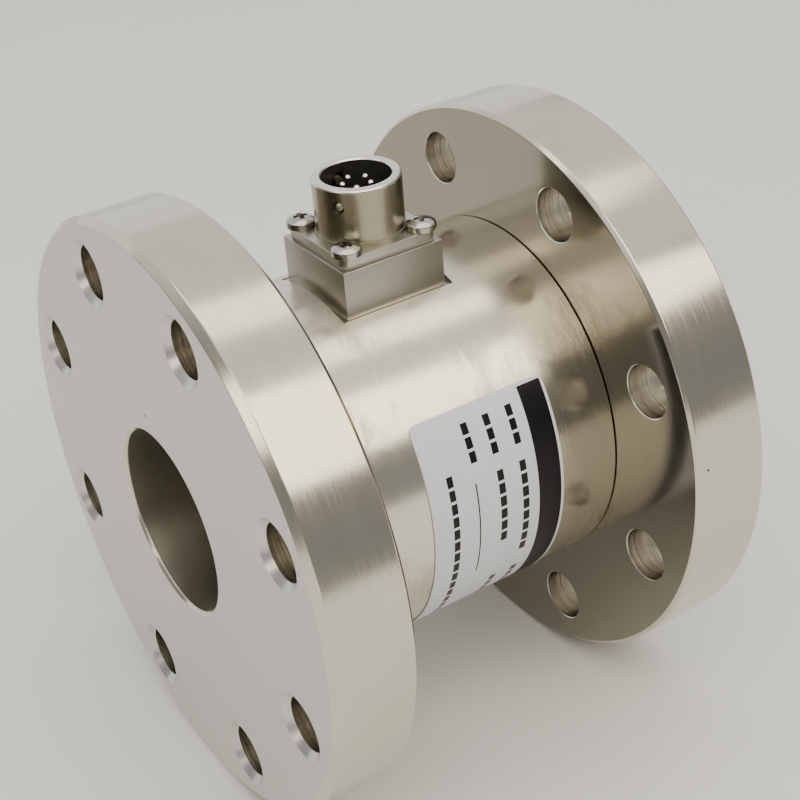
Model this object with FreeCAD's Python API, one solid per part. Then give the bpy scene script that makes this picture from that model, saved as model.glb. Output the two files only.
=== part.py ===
import FreeCAD, Part
import math
import os

# Static torque sensor with two bolted flanges, in millimetres.
# X is the sensor axis, Z points to the connector, and the origin is on the axis at mid-length.

# Flanged element
flange_diameter = 100.0
flange_thickness = 14.0
overall_length = 80.0
bore_diameter = 31.0
strain_tube_diameter = 39.0
tube_fillet = 3.0
boss_length = 8.0
front_rim_chamfer = 1.2
rim_chamfer = 0.6
bore_chamfer = 0.5

# Bolt holes, half a pitch away from the connector, on a circle set in from the rim
bolt_edge_distance = 9.0
bolt_count = 8
bolt_hole_diameter = 9.0
bolt_chamfer = 0.75
bolt_deburr = 0.25

# Cover sleeve round the strain tube, fast on the near boss and free of the far flange
sleeve_standoff = 11.2
sleeve_wall = 2.5
sleeve_end_gap = 0.35
sleeve_edge_break = 0.2
bond_line = 0.04
running_gap = 0.3
seat_margin = 1.1
wire_hole_diameter = 9.0

# Soft ring that closes the sleeve's free end
seal_groove_width = 2.8
seal_groove_depth = 1.6
seal_width = 2.2
seal_squeeze_gap = 0.05
seal_bevel = 0.5
seal_from_boss_end = 3.0

# Block that carries the connector
block_width = 18.2
block_height = 7.9
block_bore_diameter = 14.2
block_edge_break = 0.25

# Connector receptacle
gasket_thickness = 0.4
gasket_inset = 0.25
plate_width = 17.2
plate_thickness = 1.5
plate_corner = 1.6
shell_height = 9.15
shell_diameter = 14.2
socket_diameter = 11.1
shell_rim_break = 0.45
foot_ring_diameter = 14.5
foot_ring_height = 0.45
barrel_diameter = 13.8
barrel_depth = 4.2
barrel_bore_diameter = 11.8

# Insert, contacts and keys inside the shell
insert_face_depth = 7.1
insert_boss_height = 1.5
insert_length = 6.0
insert_fit = 0.05
retaining_ring_height = 1.0
retaining_ring_bore = 9.2
contact_count = 5
contact_circle_diameter = 4.64
contact_first_angle = 22.2
contact_diameter = 1.0
contact_tip_depth = 1.1
contact_tip_taper = 0.35
contact_fit = 0.02
cup_diameter = 1.5
cup_length = 3.2
cup_bore = 0.9
cup_bore_depth = 2.2
cup_slot_depth = 1.1
cup_slot_offset = 0.22
key_count = 3
key_first_angle = -146.6
key_diameter = 1.4
key_depth = 2.85
key_fit = 0.02
key_countersink = 0.3
key_recess = 0.12
key_reach = 0.7
key_hole_start = 2.7
key_crown = 0.24
key_crown_diameter = 0.5

# Screws that hold the receptacle
screw_pitch = 13.7
screw_diameter = 2.5
screw_hole_diameter = 2.7
screw_length = 8.0
screw_head_diameter = 4.8
screw_head_side = 0.75
screw_head_crown = 0.85
crown_bulge = 0.72
screw_point = 0.37
screw_thread_fit = 0.03
screw_turns = (20, 65, 35, 80)
tapped_depth_margin = 0.8
recess_span = 2.8
recess_slot = 0.7
recess_depth = 1.1
recess_taper = 0.45

# Strain gauges, terminal ring and wires inside the sleeve
gauge_count = 4
gauge_length = 8.0
gauge_arc = 22.0
gauge_thickness = 0.1
terminal_ring_thickness = 1.0
terminal_ring_clearance = 0.4
gauge_wire_diameter = 0.4
gauge_wire_spread = 7.0
gauge_wire_landing = 0.5
lead_diameter = 0.7
lead_from_ring_edge = 1.36
lead_level_step = 0.8
lead_in_cup = 0.8
lead_bend_share = 0.45
wire_gap = 0.03

# Rating label on the sleeve
label_width = 25.0
label_length = 60.0
label_thickness = 0.15
label_start_x = -10.0
label_start_angle = 55.0
label_corner = 1.5

# How far a cutter runs past the faces that it opens
cut_margin = 1.0

# Worked out from the sizes above
half_length = overall_length / 2
inner_face = half_length - flange_thickness
flange_radius = flange_diameter / 2
bolt_circle_radius = flange_radius - bolt_edge_distance
bore_radius = bore_diameter / 2
tube_radius = strain_tube_diameter / 2
sleeve_radius = tube_radius + sleeve_standoff
sleeve_inner = sleeve_radius - sleeve_wall
near_boss_radius = sleeve_inner - bond_line
far_boss_radius = sleeve_inner - running_gap
boss_face = inner_face - boss_length
seat_width = block_width + 2 * seat_margin
seat_height = math.sqrt(sleeve_radius ** 2 - (seat_width / 2) ** 2)
block_top = seat_height + block_height
plate_bottom = block_top + gasket_thickness
plate_top = plate_bottom + plate_thickness
shell_top = plate_top + shell_height
barrel_bottom = plate_bottom - barrel_depth
insert_face = shell_top - insert_face_depth
insert_shoulder = insert_face - insert_boss_height
insert_bottom = insert_face - insert_length
cup_bottom = insert_bottom - cup_length
terminal_face = -boss_face + terminal_ring_thickness
terminal_inner = tube_radius + tube_fillet + terminal_ring_clearance
terminal_outer = near_boss_radius - terminal_ring_clearance
sensor_axis = FreeCAD.Vector(1, 0, 0)
upward = FreeCAD.Vector(0, 0, 1)
origin = FreeCAD.Vector(0, 0, 0)


def turned(profile, sweep=360):
    """Ring turned about the sensor axis from corners given as (x, radius)."""
    corners = [FreeCAD.Vector(x, 0, radius) for x, radius in profile]
    return Part.Face(Part.makePolygon(corners + corners[:1])).revolve(origin, sensor_axis, sweep)


def upright(profile):
    """Piece turned about the connector's axis from corners given as (radius, z)."""
    corners = [FreeCAD.Vector(radius, 0, z) for radius, z in profile]
    return Part.Face(Part.makePolygon(corners + corners[:1])).revolve(origin, upward, 360)


def post(diameter, bottom, top, x=0.0, y=0.0):
    """Vertical cylinder between two heights."""
    return Part.makeCylinder(diameter / 2, top - bottom, FreeCAD.Vector(x, y, bottom))


def square_plate(width, bottom, top, corner):
    """Square plate about the connector's axis with rounded upright corners."""
    start = FreeCAD.Vector(-width / 2, -width / 2, bottom)
    plate = Part.makeBox(width, width, top - bottom, start)
    uprights = [edge for edge in plate.Edges if abs(edge.tangentAt(edge.FirstParameter).z) > 0.9]
    return plate.makeFillet(corner, uprights)


def ring_edges(shape, x, radius):
    """Edges of a turned piece that are circles at one place and radius."""
    def matches(edge):
        curve = edge.Curve
        return (
            isinstance(curve, Part.Circle)
            and abs(curve.Center.x - x) < 0.001
            and abs(curve.Radius - radius) < 0.001
        )
    return [edge for edge in shape.Edges if matches(edge)]


def curved_patch(inner_radius, thickness, x, length, start, sweep):
    """Sheet that lies on a cylinder about the sensor axis, with angles from +Z towards -Y."""
    end = x + length
    outer_radius = inner_radius + thickness
    patch = turned([(x, inner_radius), (x, outer_radius), (end, outer_radius), (end, inner_radius)], sweep)
    patch.rotate(origin, sensor_axis, start)
    return patch


def rounded_route(points):
    """Wire path of straight runs joined by tangent arcs."""
    edges = []
    start = points[0]
    for before, corner, after in zip(points, points[1:], points[2:]):
        back = before - corner
        ahead = after - corner
        half_turn = (math.pi - back.getAngle(ahead)) / 2
        cut = lead_bend_share * min(back.Length, ahead.Length)
        back.normalize()
        ahead.normalize()
        radius = cut / math.tan(half_turn)
        entry = corner + back * cut
        leave = corner + ahead * cut
        inward = back + ahead
        inward.normalize()
        middle = corner + inward * (math.hypot(cut, radius) - radius)
        edges.append(Part.LineSegment(start, entry).toShape())
        edges.append(Part.Arc(entry, middle, leave).toShape())
        start = leave
    edges.append(Part.LineSegment(start, points[-1]).toShape())
    return Part.Wire(edges)


def round_wire(points, diameter):
    """Round wire along a route."""
    route = rounded_route(points)
    end = Part.Circle(points[0], points[1] - points[0], diameter / 2).toShape()
    return route.makePipeShell([Part.Wire([end])], True, False)


def bolt_hole(outer, inner, angle):
    """Cutter for one bolt hole, bevelled at the outer face and deburred at the inner one."""
    radius = bolt_hole_diameter / 2
    side = math.copysign(1, outer - inner)
    outer_end = outer + side * cut_margin
    inner_end = inner - side * cut_margin
    profile = [
        (outer_end, 0),
        (outer_end, radius + bolt_chamfer + cut_margin),
        (outer - side * bolt_chamfer, radius),
        (inner + side * bolt_deburr, radius),
        (inner_end, radius + bolt_deburr + cut_margin),
        (inner_end, 0),
    ]
    cutter = turned(profile)
    cutter.translate(FreeCAD.Vector(0, 0, bolt_circle_radius))
    cutter.rotate(origin, sensor_axis, angle)
    return cutter


def sensing_element():
    """One-piece element: two flanges, two bosses and the strain tube between them."""
    groove_end = inner_face - seal_from_boss_end
    groove_start = groove_end - seal_groove_width
    groove_radius = far_boss_radius - seal_groove_depth
    body = turned([
        (-half_length, bore_radius),
        (-half_length, flange_radius),
        (-inner_face, flange_radius),
        (-inner_face, near_boss_radius),
        (-boss_face, near_boss_radius),
        (-boss_face, tube_radius),
        (boss_face, tube_radius),
        (boss_face, far_boss_radius),
        (groove_start, far_boss_radius),
        (groove_start, groove_radius),
        (groove_end, groove_radius),
        (groove_end, far_boss_radius),
        (inner_face, far_boss_radius),
        (inner_face, flange_radius),
        (half_length, flange_radius),
        (half_length, bore_radius),
    ])
    roots = ring_edges(body, -boss_face, tube_radius) + ring_edges(body, boss_face, tube_radius)
    body = body.makeFillet(tube_fillet, roots)
    body = body.makeChamfer(front_rim_chamfer, ring_edges(body, -half_length, flange_radius))
    rims = ring_edges(body, half_length, flange_radius)
    rims += ring_edges(body, -inner_face, flange_radius)
    rims += ring_edges(body, inner_face, flange_radius)
    body = body.makeChamfer(rim_chamfer, rims)
    mouths = ring_edges(body, -half_length, bore_radius) + ring_edges(body, half_length, bore_radius)
    body = body.makeChamfer(bore_chamfer, mouths)
    pitch = 360 / bolt_count
    cutters = []
    for index in range(bolt_count):
        angle = (index + 0.5) * pitch
        cutters.append(bolt_hole(-half_length, -inner_face, angle))
        cutters.append(bolt_hole(half_length, inner_face, angle))
    return body.cut(Part.makeCompound(cutters))


def protective_sleeve():
    """Cover tube with the block's milled seat and the wire hole under it."""
    end = inner_face - sleeve_end_gap
    tube = turned([
        (-inner_face, sleeve_inner),
        (-inner_face, sleeve_radius),
        (end - sleeve_edge_break, sleeve_radius),
        (end, sleeve_radius - sleeve_edge_break),
        (end, sleeve_inner),
    ])
    seat_corner = FreeCAD.Vector(-seat_width / 2, -seat_width / 2, seat_height)
    seat = Part.makeBox(seat_width, seat_width, sleeve_wall, seat_corner)
    return tube.cut(seat).cut(post(wire_hole_diameter, 0, sleeve_radius))


def gap_seal_ring():
    """Soft ring in the far boss's groove, pressed flat against the sleeve."""
    middle = inner_face - seal_from_boss_end - seal_groove_width / 2
    bottom = far_boss_radius - seal_groove_depth
    top = sleeve_inner - seal_squeeze_gap
    half_width = seal_width / 2
    return turned([
        (middle - half_width, bottom),
        (middle - half_width, top - seal_bevel),
        (middle - half_width + seal_bevel, top),
        (middle + half_width - seal_bevel, top),
        (middle + half_width, top - seal_bevel),
        (middle + half_width, bottom),
    ])


def screw_places():
    """Centres of the four screws round the connector's axis."""
    half = screw_pitch / 2
    return [(x * half, y * half) for x, y in ((-1, -1), (1, -1), (1, 1), (-1, 1))]


def connector_block():
    """Square block on the sleeve's seat, bored for the connector and tapped for its screws."""
    corner = FreeCAD.Vector(-block_width / 2, -block_width / 2, seat_height)
    block = Part.makeBox(block_width, block_width, block_top - seat_height, corner)
    upper = [edge for edge in block.Edges if abs(edge.CenterOfMass.z - block_top) < 0.001]
    block = block.makeChamfer(block_edge_break, upper)
    block = block.cut(post(block_bore_diameter, seat_height, block_top))
    thread_bottom = plate_top - screw_length - tapped_depth_margin
    for x, y in screw_places():
        block = block.cut(post(screw_diameter, thread_bottom, block_top, x, y))
    return block


def connector_gasket():
    """Flat gasket under the receptacle's plate."""
    gasket = square_plate(plate_width - 2 * gasket_inset, block_top, plate_bottom, plate_corner)
    gasket = gasket.cut(post(block_bore_diameter, block_top, plate_bottom))
    for x, y in screw_places():
        gasket = gasket.cut(post(screw_hole_diameter, block_top, plate_bottom, x, y))
    return gasket


def key_places():
    """Angles of the keys round the connector's axis."""
    return [key_first_angle + index * 360 / key_count for index in range(key_count)]


def radial_pin(profile, angle, height):
    """Piece turned about a level line through the connector's axis, from (distance, radius) corners."""
    pin = turned(profile)
    pin.rotate(origin, upward, angle)
    pin.translate(FreeCAD.Vector(0, 0, height))
    return pin


def connector_shell():
    """Receptacle shell: square plate, round shell with a foot ring, and rear barrel."""
    shell_radius = shell_diameter / 2
    turned_body = upright([
        (0, barrel_bottom),
        (barrel_diameter / 2, barrel_bottom),
        (barrel_diameter / 2, plate_top),
        (foot_ring_diameter / 2, plate_top),
        (foot_ring_diameter / 2, plate_top + foot_ring_height),
        (shell_radius, plate_top + foot_ring_height),
        (shell_radius, shell_top - shell_rim_break),
        (shell_radius - shell_rim_break, shell_top),
        (0, shell_top),
    ])
    shell = square_plate(plate_width, plate_bottom, plate_top, plate_corner).fuse(turned_body)
    shell = shell.removeSplitter()
    shell = shell.cut(post(barrel_bore_diameter, barrel_bottom, insert_shoulder))
    shell = shell.cut(post(socket_diameter, insert_shoulder, shell_top))
    for x, y in screw_places():
        shell = shell.cut(post(screw_hole_diameter, plate_bottom, plate_top, x, y))
    hole = key_diameter / 2 + key_fit
    hole_end = shell_radius + cut_margin
    hole_profile = [
        (key_hole_start, 0),
        (key_hole_start, hole),
        (shell_radius - key_countersink, hole),
        (hole_end, hole + key_countersink + cut_margin),
        (hole_end, 0),
    ]
    for angle in key_places():
        shell = shell.cut(radial_pin(hole_profile, angle, shell_top - key_depth))
    return shell


def key_pin(angle):
    """Key pressed through the shell wall, with a low dome outside and its nose in the socket."""
    radius = key_diameter / 2
    crown_radius = key_crown_diameter / 2
    nose = socket_diameter / 2 - key_reach
    outer = shell_diameter / 2 - key_recess
    profile = [
        (nose, 0),
        (nose, radius),
        (outer - key_crown, radius),
        (outer - key_crown / 2, (radius + crown_radius) / 2 + key_crown / 4),
        (outer, crown_radius),
        (outer, 0),
    ]
    return radial_pin(profile, angle, shell_top - key_depth)


def contact_places():
    """Centres of the contacts round the connector's axis."""
    places = []
    for index in range(contact_count):
        angle = math.radians(contact_first_angle + index * 360 / contact_count)
        reach = contact_circle_diameter / 2
        places.append((reach * math.cos(angle), reach * math.sin(angle)))
    return places


def connector_insert():
    """Moulded insert with a boss in the socket and a hole for each contact."""
    body_radius = barrel_bore_diameter / 2 - insert_fit
    boss_radius = socket_diameter / 2 - insert_fit
    insert = upright([
        (0, insert_bottom),
        (body_radius, insert_bottom),
        (body_radius, insert_shoulder),
        (boss_radius, insert_shoulder),
        (boss_radius, insert_face),
        (0, insert_face),
    ])
    for x, y in contact_places():
        insert = insert.cut(post(contact_diameter + 2 * contact_fit, insert_bottom, insert_face, x, y))
    return insert


def insert_retaining_ring():
    """Ring in the rear barrel that holds the insert against its shoulder."""
    outer = barrel_bore_diameter / 2 - insert_fit
    bottom = insert_bottom - retaining_ring_height
    return upright([
        (retaining_ring_bore / 2, bottom),
        (outer, bottom),
        (outer, insert_bottom),
        (retaining_ring_bore / 2, insert_bottom),
    ])


def contact_pin(x, y):
    """Contact with a tapered tip in front and an open solder cup behind."""
    radius = contact_diameter / 2
    tip = shell_top - contact_tip_depth
    shoulder = tip - contact_tip_taper
    pin = post(contact_diameter, insert_bottom, shoulder, x, y)
    place = FreeCAD.Vector(x, y, shoulder)
    pin = pin.fuse(Part.makeCone(radius, radius - contact_tip_taper, contact_tip_taper, place))
    pin = pin.fuse(post(cup_diameter, cup_bottom, insert_bottom, x, y)).removeSplitter()
    pin = pin.cut(post(cup_bore, cup_bottom, cup_bottom + cup_bore_depth, x, y))
    slot_start = FreeCAD.Vector(cup_slot_offset, -cup_diameter, cup_bottom)
    slot = Part.makeBox(cup_diameter, 2 * cup_diameter, cup_slot_depth, slot_start)
    slot.rotate(origin, upward, math.degrees(math.atan2(y, x)))
    slot.translate(FreeCAD.Vector(x, y, 0))
    return pin.cut(slot)


def cross_recess(top):
    """Tapered cross for the driver, at the connector's axis."""
    arms = None
    for turn in (0, 90):
        outlines = []
        for depth, shrink in ((-cut_margin, 0.0), (recess_depth, recess_taper)):
            half_span = recess_span / 2 * (1 - shrink)
            half_slot = recess_slot / 2 * (1 - shrink)
            signs = ((-1, -1), (1, -1), (1, 1), (-1, 1), (-1, -1))
            corners = [FreeCAD.Vector(i * half_span, j * half_slot, top - depth) for i, j in signs]
            outlines.append(Part.makePolygon(corners))
        arm = Part.makeLoft(outlines, True, True)
        arm.rotate(origin, upward, turn)
        arms = arm if arms is None else arms.fuse(arm)
    return arms


def flange_screw(x, y, turn):
    """Pan-head machine screw with a cross recess, standing on the receptacle's plate."""
    shank = screw_diameter / 2 - screw_thread_fit
    head = screw_head_diameter / 2
    side_top = plate_top + screw_head_side
    crown_top = side_top + screw_head_crown
    tip = plate_top - screw_length
    corners = [(0, tip), (shank - screw_point, tip), (shank, tip + screw_point), (shank, plate_top),
               (head, plate_top), (head, side_top)]
    points = [FreeCAD.Vector(radius, 0, z) for radius, z in corners]
    edges = [Part.LineSegment(a, b).toShape() for a, b in zip(points, points[1:])]
    crown_middle = FreeCAD.Vector(head * crown_bulge, 0, side_top + screw_head_crown * crown_bulge)
    crown_end = FreeCAD.Vector(0, 0, crown_top)
    edges.append(Part.Arc(points[-1], crown_middle, crown_end).toShape())
    edges.append(Part.LineSegment(crown_end, points[0]).toShape())
    screw = Part.Face(Part.Wire(edges)).revolve(origin, upward, 360)
    screw = screw.cut(cross_recess(crown_top))
    screw.rotate(origin, upward, turn)
    screw.translate(FreeCAD.Vector(x, y, 0))
    return screw


def terminal_ring():
    """Terminal ring on the near boss's face, clear of the strain tube's fillet."""
    corners = [(-boss_face, terminal_inner), (-boss_face, terminal_outer),
               (terminal_face, terminal_outer), (terminal_face, terminal_inner)]
    return turned(corners)


def gauge_wires(angle):
    """Two wires stretched from one gauge's end to the terminal ring."""
    radius = gauge_wire_diameter / 2
    start = FreeCAD.Vector(-gauge_length / 2 - wire_gap, 0, tube_radius + wire_gap + radius)
    end = FreeCAD.Vector(terminal_face + gauge_wire_diameter, 0, terminal_inner + gauge_wire_landing)
    pair = []
    for side in (-0.5, 0.5):
        run = end - start
        wire = Part.makeCylinder(radius, run.Length, start, run)
        wire.rotate(origin, sensor_axis, angle + side * gauge_wire_spread)
        pair.append(wire)
    return Part.makeCompound(pair)


def lead_wire(place):
    """Lead from the terminal ring along the sensor, then up the wire hole into a solder cup."""
    x, y = place
    order = sorted(spot[0] for spot in contact_places()).index(x)
    level = terminal_outer - lead_from_ring_edge - order * lead_level_step
    points = [
        FreeCAD.Vector(terminal_face + wire_gap, y, level),
        FreeCAD.Vector(x, y, level),
        FreeCAD.Vector(x, y, cup_bottom + lead_in_cup),
    ]
    return round_wire(points, lead_diameter)


def label():
    """Curved label on the sleeve with rounded corners."""
    radius = sleeve_radius + bond_line
    sweep = math.degrees(label_length / radius)
    sheet = curved_patch(radius, label_thickness, label_start_x, label_width, label_start_angle, sweep)
    corners = [edge for edge in sheet.Edges if abs(edge.Length - label_thickness) < 0.001]
    return sheet.makeFillet(label_corner, corners)


def all_pieces():
    """Every piece by its name."""
    pieces = {
        "sensing_element": sensing_element(),
        "protective_sleeve": protective_sleeve(),
        "gap_seal_ring": gap_seal_ring(),
        "connector_block": connector_block(),
        "connector_gasket": connector_gasket(),
        "connector_shell": connector_shell(),
        "connector_insert": connector_insert(),
        "insert_retaining_ring": insert_retaining_ring(),
        "terminal_ring": terminal_ring(),
        "label": label(),
    }
    for number, angle in enumerate(key_places(), 1):
        pieces[f"key_pin_{number}"] = key_pin(angle)
    for number, (x, y) in enumerate(contact_places(), 1):
        pieces[f"contact_pin_{number}"] = contact_pin(x, y)
    for number, ((x, y), turn) in enumerate(zip(screw_places(), screw_turns), 1):
        pieces[f"flange_screw_{number}"] = flange_screw(x, y, turn)
    for number in range(1, gauge_count + 1):
        angle = (number - 0.5) * 360 / gauge_count
        gauge = curved_patch(
            tube_radius, gauge_thickness, -gauge_length / 2, gauge_length, angle - gauge_arc / 2, gauge_arc)
        pieces[f"strain_gauge_{number}"] = gauge
        pieces[f"gauge_wires_{number}"] = gauge_wires(angle)
    for number, place in enumerate(contact_places(), 1):
        pieces[f"lead_wire_{number}"] = lead_wire(place)
    return pieces


os.makedirs("parts", exist_ok=True)
for name, shape in all_pieces().items():
    shape.exportStep(f"parts/{name}.step")
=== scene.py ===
import math

import bmesh
import bpy
from mathutils import Matrix, Vector


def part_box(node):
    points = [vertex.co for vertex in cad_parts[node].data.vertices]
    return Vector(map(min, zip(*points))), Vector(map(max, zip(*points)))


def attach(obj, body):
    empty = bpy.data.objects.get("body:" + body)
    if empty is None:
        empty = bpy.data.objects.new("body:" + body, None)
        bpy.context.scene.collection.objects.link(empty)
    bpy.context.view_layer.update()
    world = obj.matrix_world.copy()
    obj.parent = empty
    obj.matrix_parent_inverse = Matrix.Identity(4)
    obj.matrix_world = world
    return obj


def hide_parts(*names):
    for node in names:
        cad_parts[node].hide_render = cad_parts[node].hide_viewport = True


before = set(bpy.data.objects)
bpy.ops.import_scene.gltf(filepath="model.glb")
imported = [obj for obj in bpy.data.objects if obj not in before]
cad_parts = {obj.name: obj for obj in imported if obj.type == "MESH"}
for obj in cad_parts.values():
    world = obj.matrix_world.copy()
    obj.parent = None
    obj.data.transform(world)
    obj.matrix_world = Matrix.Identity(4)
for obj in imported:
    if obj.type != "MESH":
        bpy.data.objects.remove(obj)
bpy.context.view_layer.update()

bl_info = {
    "name": "Flanged Torque Sensor",
    "version": (1, 0, 0),
    "blender": (4, 5, 0),
    "location": "View3D > Sidebar > Torque Sensor",
    "description": "Models and finishes a flanged torque sensor round its packed frame",
    "category": "Object",
}

MM = 0.001
MICRON = 0.000001
ELEMENT_LOW, ELEMENT_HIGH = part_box("sensing_element")
SLEEVE_LOW, SLEEVE_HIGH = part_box("protective_sleeve")
BLOCK_LOW, BLOCK_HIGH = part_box("connector_block")
SHELL_LOW, SHELL_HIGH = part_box("connector_shell")
GASKET_LOW, GASKET_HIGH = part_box("connector_gasket")
CONNECTOR_X = (BLOCK_LOW.x + BLOCK_HIGH.x) / 2
ALONG = {"X": Vector((1, 0, 0)), "Z": Vector((0, 0, 1))}

NEAR = 0.05 * MM  # slack when a face is told by its place
HAIR = 0.01 * MM  # the same where two surfaces lie close together
FLAT = 0.95  # a normal with this much of an axis in it is square to a face
WALL = 0.3  # a normal with less than this of the axis is on a wall

# Degrees past which an edge counts as sharp: as a rule, on finely turned walls, on domes
SHARP_ANGLE = 28
SLEEVE_ANGLE = 10
TURNED_ANGLE = 12
DOME_ANGLE = 40

# Facets round each piece and hole
FLANGE_STEPS = 288
SHELL_STEPS = 256
BORE_STEPS = 128
BOLT_STEPS = 64
HEAD_STEPS = 64
WIRE_HOLE_STEPS = 48
SMALL_STEPS = 40
SCREW_HOLE_STEPS = 32

# Facets along the section of each round
CORNER_STEPS = 10
ROUND_STEPS = 8
TIP_STEPS = 7
HEAD_ROUND_STEPS = 5

BOLT_HOLES = 8
CROWN = ((0.42, 0.70), (0.76, 0.45), (0.95, 0.20), (1.0, 0.04))  # shares of rise and of radius
SCREW_TURNS = (20, 65, 35, 80)  # degrees by which each screw's recess stands turned
LABEL_ANGLE = math.radians(55)  # from the connector to the label's upper edge
LABEL_STRIPS = 90  # facets along the label's bend

# Pits in the metal: place and radius
FACE_PIT = ((-0.040, 0.00197, 0.01900), 0.40 * MM)
RIM_PIT = ((0.02823, -0.04960, 0.00628), 0.32 * MM)
PIT_METAL = (0.08, 0.075, 0.065)

# Colours with no setting of their own: bright and dull
# Painted shade: darker colours for the faces inside the screws' cross recesses
RECESS_SHADE_COLOURS = ((0.30, 0.29, 0.25), (0.20, 0.19, 0.16))
CONTACT_COLOURS = ((0.95, 0.94, 0.91), (0.88, 0.86, 0.80))

# Marks per metre: along and across the axis on turned walls, outwards and along it on faces
TURNED_MARKS = (5200, 55, 55)
FACED_MARKS = (4200, 40)
EVEN_MARKS = (400, 400, 400)

# Metal finishes: smoothest, roughest, kind of marks, their depth in microns, clouds per metre
METAL = {
    "turned_rim": (0.15, 0.19, "turned", 1.6, 70),
    "faced_metal": (0.33, 0.40, "faced", 6.0, 70),
    # painted shade on the polished faces between the flanges
    "polished_face_painted_shade": (0.12, 0.16, "faced", 1.2, 70),
    "bored_wall": (0.30, 0.35, "turned", 2.0, 70),
    "hole_mouth": (0.28, 0.32, "even", 0.5, 70),
    "block_metal": (0.36, 0.38, "even", 0.1, 60),
    "shell_plating": (0.275, 0.285, "even", 0.1, 120),
    "plate_plating": (0.27, 0.33, "even", 0.8, 300),
    # painted highlight on the upward faces of the shell's rim
    "rim_painted_highlight": (0.20, 0.26, "even", 2.0, 420),
    "screw_plating": (0.13, 0.20, "even", 2.0, 500),
    # painted shade inside the screws' cross recesses
    "recess_painted_shade": (0.28, 0.38, "even", 4.0, 700),
    "contact_metal": (0.10, 0.18, "even", 2.0, 600),
    "key_metal": (0.32, 0.42, "even", 2.0, 600),
}

# Plain finishes: colour, roughness, grains per metre, depth of the grain in microns
PLAIN = {
    "gasket_rubber": ((0.30, 0.27, 0.22), 0.5, 1500, 20),
    # painted shade: near black on the shell's own inner wall and shoulder inside the socket
    "socket_wall_painted_shade": ((0.018, 0.017, 0.016), 0.42, 900, 10),
    # painted shade: near black in the shell's key holes and their countersinks
    "key_hole_painted_shade": ((0.03, 0.027, 0.02), 0.4, 900, 10),
    "insert_plastic": ((0.012, 0.012, 0.012), 0.4, 900, 10),
    "seal_rubber": ((0.03, 0.03, 0.03), 0.55, 1200, 20),
    "terminal_laminate": ((0.06, 0.22, 0.10), 0.38, 1800, 10),
    "gauge_film": ((0.55, 0.30, 0.07), 0.25, 1400, 8),
    "wire_jacket": ((0.68, 0.64, 0.55), 0.45, 1500, 10),
    "floor_paper": ((0.73, 0.73, 0.72), 0.7, 40, 50),
}

# Label, in millimetres: fields as low and high across it, then low and high down it
LABEL_BAND = (20.1, 24.5, 0.6, 59.4)
LABEL_LINE = (8.4, 8.65, 12.2, 30.0)
DASH_HALF_PERIOD = 1.15
DASH_HALF_GAP = 0.24
# Its rows of dashes: place across it, thickness, and the runs down it
LABEL_ROWS = (
    (16.9, 1.2, ((2.3, 9.2), (11.5, 29.9), (34.5, 55.2))),
    (12.6, 1.2, ((2.3, 9.2), (11.5, 25.3), (34.5, 55.2))),
    (8.5, 1.2, ((2.3, 9.2),)),
    (3.6, 1.1, ((9.2, 55.2),)),
)

# Camera: the picture's width and the focal length in its pixels, then place and directions
PICTURE_WIDTH = 800
FOCAL_PIXELS = 1577.68
FILM_WIDTH = 36
CAMERA_PLACE = (-0.112898, -0.195466, 0.144051)
CAMERA_RIGHT = (0.831604, -0.550647, -0.07227)
CAMERA_UP = (0.339655, 0.401316, 0.850635)

FLOOR_SIDE = 4
FLOOR_MIDDLE_Y = 1.5
WORLD_COLOUR = (0.29, 0.285, 0.275, 1)
CREAM = (1.0, 0.925, 0.775)
# Lights: place, tilt and turn in degrees, width, height, power, tint
LIGHTS = {
    "ceiling": ((0.10, 1.00, 1.20), (0, 0), 3.4, 3.3, 26.5, (1.0, 0.995, 0.97)),
    "back_wall": ((0.30, 2.60, 0.60), (-90, 0), 4.5, 1.3, 17.0, (1.0, 1.0, 0.99)),
    "key_strip": ((0.20, -1.13, 1.15), (0, -19.3), 2.4, 1.25, 35.0, CREAM),
    "side_card": ((-1.05, -0.18, 0.53), (65, -90), 0.42, 0.32, 1.5, CREAM),
    "second_strip": ((-0.10, 0.28, 1.15), (0, -18.3), 2.0, 0.3, 3.6, CREAM),
}


def length(name, description, millimetres):
    """Size property given in millimetres and kept in metres."""
    return bpy.props.FloatProperty(
        name=name, description=description, default=millimetres * MM, unit="LENGTH", precision=5)


def colour(name, description, red, green, blue):
    """Colour property for a finish."""
    return bpy.props.FloatVectorProperty(
        name=name, description=description, default=(red, green, blue), subtype="COLOR", min=0, max=1)


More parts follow.
